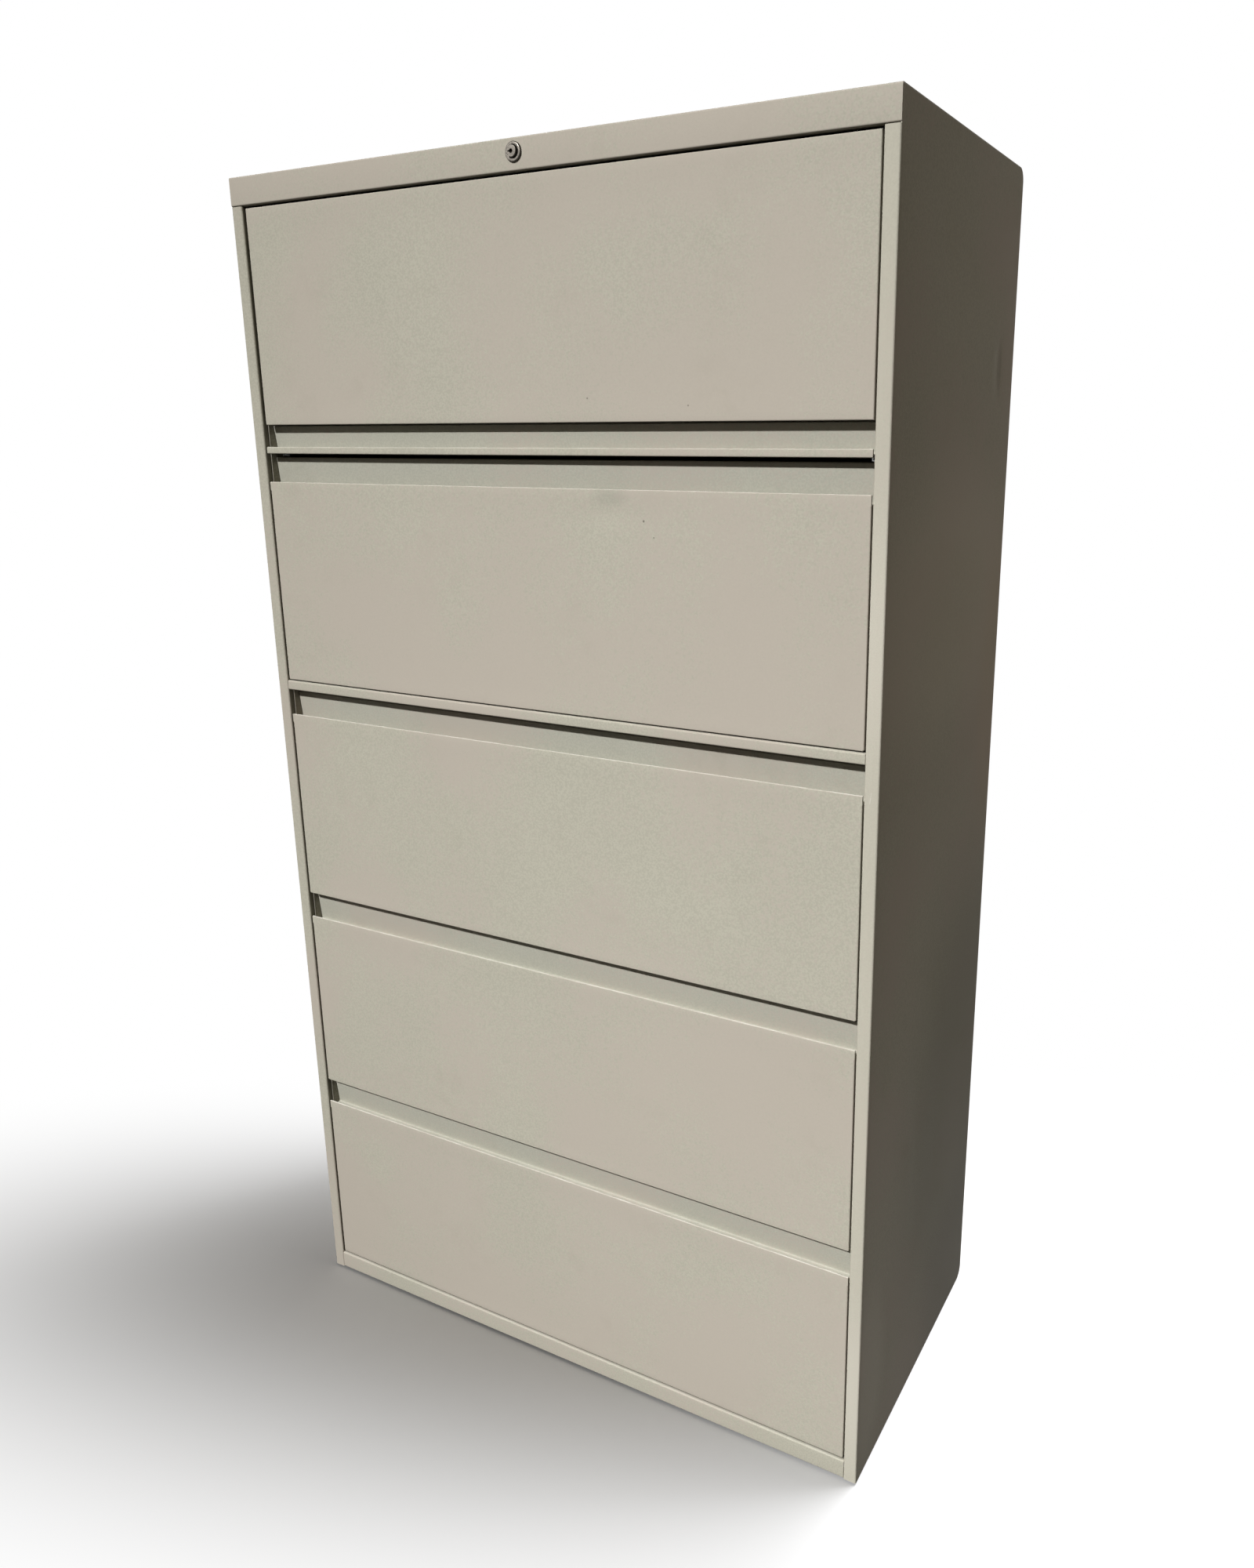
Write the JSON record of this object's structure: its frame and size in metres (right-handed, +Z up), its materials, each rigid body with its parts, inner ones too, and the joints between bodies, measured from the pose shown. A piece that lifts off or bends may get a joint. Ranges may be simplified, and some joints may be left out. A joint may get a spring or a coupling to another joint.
{
  "type": "lateral filing cabinet",
  "caption": "Tall lateral filing cabinet in painted sheet steel, with pull-out drawers, a lift-up door that slides back over a roll-out shelf, and one lock in the header.",
  "frame": {"origin": "on the floor under the middle of the case", "axes": "+X to the cabinet's right as seen from the front, +Y to its back, +Z up"},
  "size_m": [0.9144, 0.463, 1.645],
  "materials": {
    "cabinet_paint": "satin",
    "zinc_plate": "satin",
    "lock_metal": "satin",
    "glide_nylon": "matte"
  },
  "bodies": {
    "case": {"left_side": "cabinet_paint", "right_side": "cabinet_paint", "top_cap": "cabinet_paint", "back_panel": "cabinet_paint", "base_pan": "cabinet_paint", "bottom_rail": "cabinet_paint", "mid_rail": "cabinet_paint", "front_posts": "cabinet_paint", "rear_posts": "cabinet_paint", "outer_slides": "zinc_plate", "door_tracks": "zinc_plate", "lock_barrel": "lock_metal", "lock_nut": "lock_metal", "rod_guides": "zinc_plate", "glide_bushes": "zinc_plate"},
    "lock_core": {"lock_plug": "lock_metal", "lock_cam": "lock_metal"},
    "cross_rod": {"lock_rod": "zinc_plate"},
    "upright_bar": {"lock_bar": "zinc_plate"},
    "door_carriage": {"carriage_arms": "zinc_plate", "carriage_tie": "zinc_plate", "carriage_runners": "zinc_plate"},
    "door": {"door_panel": "cabinet_paint", "door_hinges": "zinc_plate"},
    "shelf": {"shelf_front": "cabinet_paint", "shelf_pull": "cabinet_paint", "shelf_tray": "cabinet_paint", "shelf_inner_slides": "zinc_plate"},
    "shelf_slides": {"shelf_middle_slides": "zinc_plate"},
    "drawer_5": {"drawer_5_front": "cabinet_paint", "drawer_5_pull": "cabinet_paint", "drawer_5_tray": "cabinet_paint", "drawer_5_hanging_rails": "zinc_plate", "drawer_5_inner_slides": "zinc_plate"},
    "drawer_5_slides": {"drawer_5_middle_slides": "zinc_plate"},
    "drawer_4": {"drawer_4_front": "cabinet_paint", "drawer_4_pull": "cabinet_paint", "drawer_4_tray": "cabinet_paint", "drawer_4_hanging_rails": "zinc_plate", "drawer_4_inner_slides": "zinc_plate"},
    "drawer_4_slides": {"drawer_4_middle_slides": "zinc_plate"},
    "drawer_3": {"drawer_3_front": "cabinet_paint", "drawer_3_pull": "cabinet_paint", "drawer_3_tray": "cabinet_paint", "drawer_3_hanging_rails": "zinc_plate", "drawer_3_inner_slides": "zinc_plate"},
    "drawer_3_slides": {"drawer_3_middle_slides": "zinc_plate"},
    "drawer_2": {"drawer_2_front": "cabinet_paint", "drawer_2_pull": "cabinet_paint", "drawer_2_tray": "cabinet_paint", "drawer_2_hanging_rails": "zinc_plate", "drawer_2_inner_slides": "zinc_plate"},
    "drawer_2_slides": {"drawer_2_middle_slides": "zinc_plate"},
    "front_left_foot": {"front_left_glide": "glide_nylon"},
    "rear_left_foot": {"rear_left_glide": "glide_nylon"},
    "front_right_foot": {"front_right_glide": "glide_nylon"},
    "rear_right_foot": {"rear_right_glide": "glide_nylon"}
  },
  "joints": [
    {"name": "drawer_5_run", "type": "slide", "parent": "case", "child": "drawer_5", "axis": [0, -1, 0], "range_m": [0, 0.395]},
    {"name": "drawer_5_slides_run", "type": "slide", "parent": "case", "child": "drawer_5_slides", "axis": [0, -1, 0], "range_m": [0, 0.1985]},
    {"name": "drawer_4_run", "type": "slide", "parent": "case", "child": "drawer_4", "axis": [0, -1, 0], "range_m": [0, 0.395]},
    {"name": "drawer_4_slides_run", "type": "slide", "parent": "case", "child": "drawer_4_slides", "axis": [0, -1, 0], "range_m": [0, 0.1985]},
    {"name": "drawer_3_run", "type": "slide", "parent": "case", "child": "drawer_3", "axis": [0, -1, 0], "range_m": [0, 0.395]},
    {"name": "drawer_3_slides_run", "type": "slide", "parent": "case", "child": "drawer_3_slides", "axis": [0, -1, 0], "range_m": [0, 0.1985]},
    {"name": "drawer_2_run", "type": "slide", "parent": "case", "child": "drawer_2", "axis": [0, -1, 0], "range_m": [0, 0.395]},
    {"name": "drawer_2_slides_run", "type": "slide", "parent": "case", "child": "drawer_2_slides", "axis": [0, -1, 0], "range_m": [0, 0.1985]},
    {"name": "shelf_run", "type": "slide", "parent": "case", "child": "shelf", "axis": [0, -1, 0], "range_m": [0, 0.395]},
    {"name": "shelf_slides_run", "type": "slide", "parent": "case", "child": "shelf_slides", "axis": [0, -1, 0], "range_m": [0, 0.1985]},
    {"name": "door_recede", "type": "slide", "parent": "case", "child": "door_carriage", "axis": [0, 1, 0], "range_m": [0, 0.23]},
    {"name": "door_flip", "type": "hinge", "parent": "door_carriage", "child": "door", "pos_m": [0, -0.2181, 1.5932], "axis": [-1, 0, 0], "range_deg": [0, 90]},
    {"name": "lock_turn", "type": "hinge", "parent": "case", "child": "lock_core", "pos_m": [0, -0.2186, 1.6298], "axis": [0, 1, 0], "range_deg": [0, 90]},
    {"name": "cross_rod_run", "type": "slide", "parent": "case", "child": "cross_rod", "axis": [-1, 0, 0], "range_m": [0, 0.00848]},
    {"name": "upright_bar_run", "type": "slide", "parent": "case", "child": "upright_bar", "axis": [0, 0, 1], "range_m": [0, 0.0086]},
    {"name": "front_left_glide_screw", "type": "slide", "parent": "case", "child": "front_left_foot", "axis": [0, 0, -1], "range_m": [0, 0.015]},
    {"name": "rear_left_glide_screw", "type": "slide", "parent": "case", "child": "rear_left_foot", "axis": [0, 0, -1], "range_m": [0, 0.015]},
    {"name": "front_right_glide_screw", "type": "slide", "parent": "case", "child": "front_right_foot", "axis": [0, 0, -1], "range_m": [0, 0.015]},
    {"name": "rear_right_glide_screw", "type": "slide", "parent": "case", "child": "rear_right_foot", "axis": [0, 0, -1], "range_m": [0, 0.015]}
  ],
  "couplings": [
    {"joint": "drawer_5_slides_run", "follows": "drawer_5_run", "ratio": 0.5},
    {"joint": "drawer_4_slides_run", "follows": "drawer_4_run", "ratio": 0.5},
    {"joint": "drawer_3_slides_run", "follows": "drawer_3_run", "ratio": 0.5},
    {"joint": "drawer_2_slides_run", "follows": "drawer_2_run", "ratio": 0.5},
    {"joint": "shelf_slides_run", "follows": "shelf_run", "ratio": 0.5},
    {"joint": "lock_turn", "follows": "cross_rod_run", "rad_per_m": 185.12},
    {"joint": "upright_bar_run", "follows": "cross_rod_run", "ratio": 1}
  ]
}
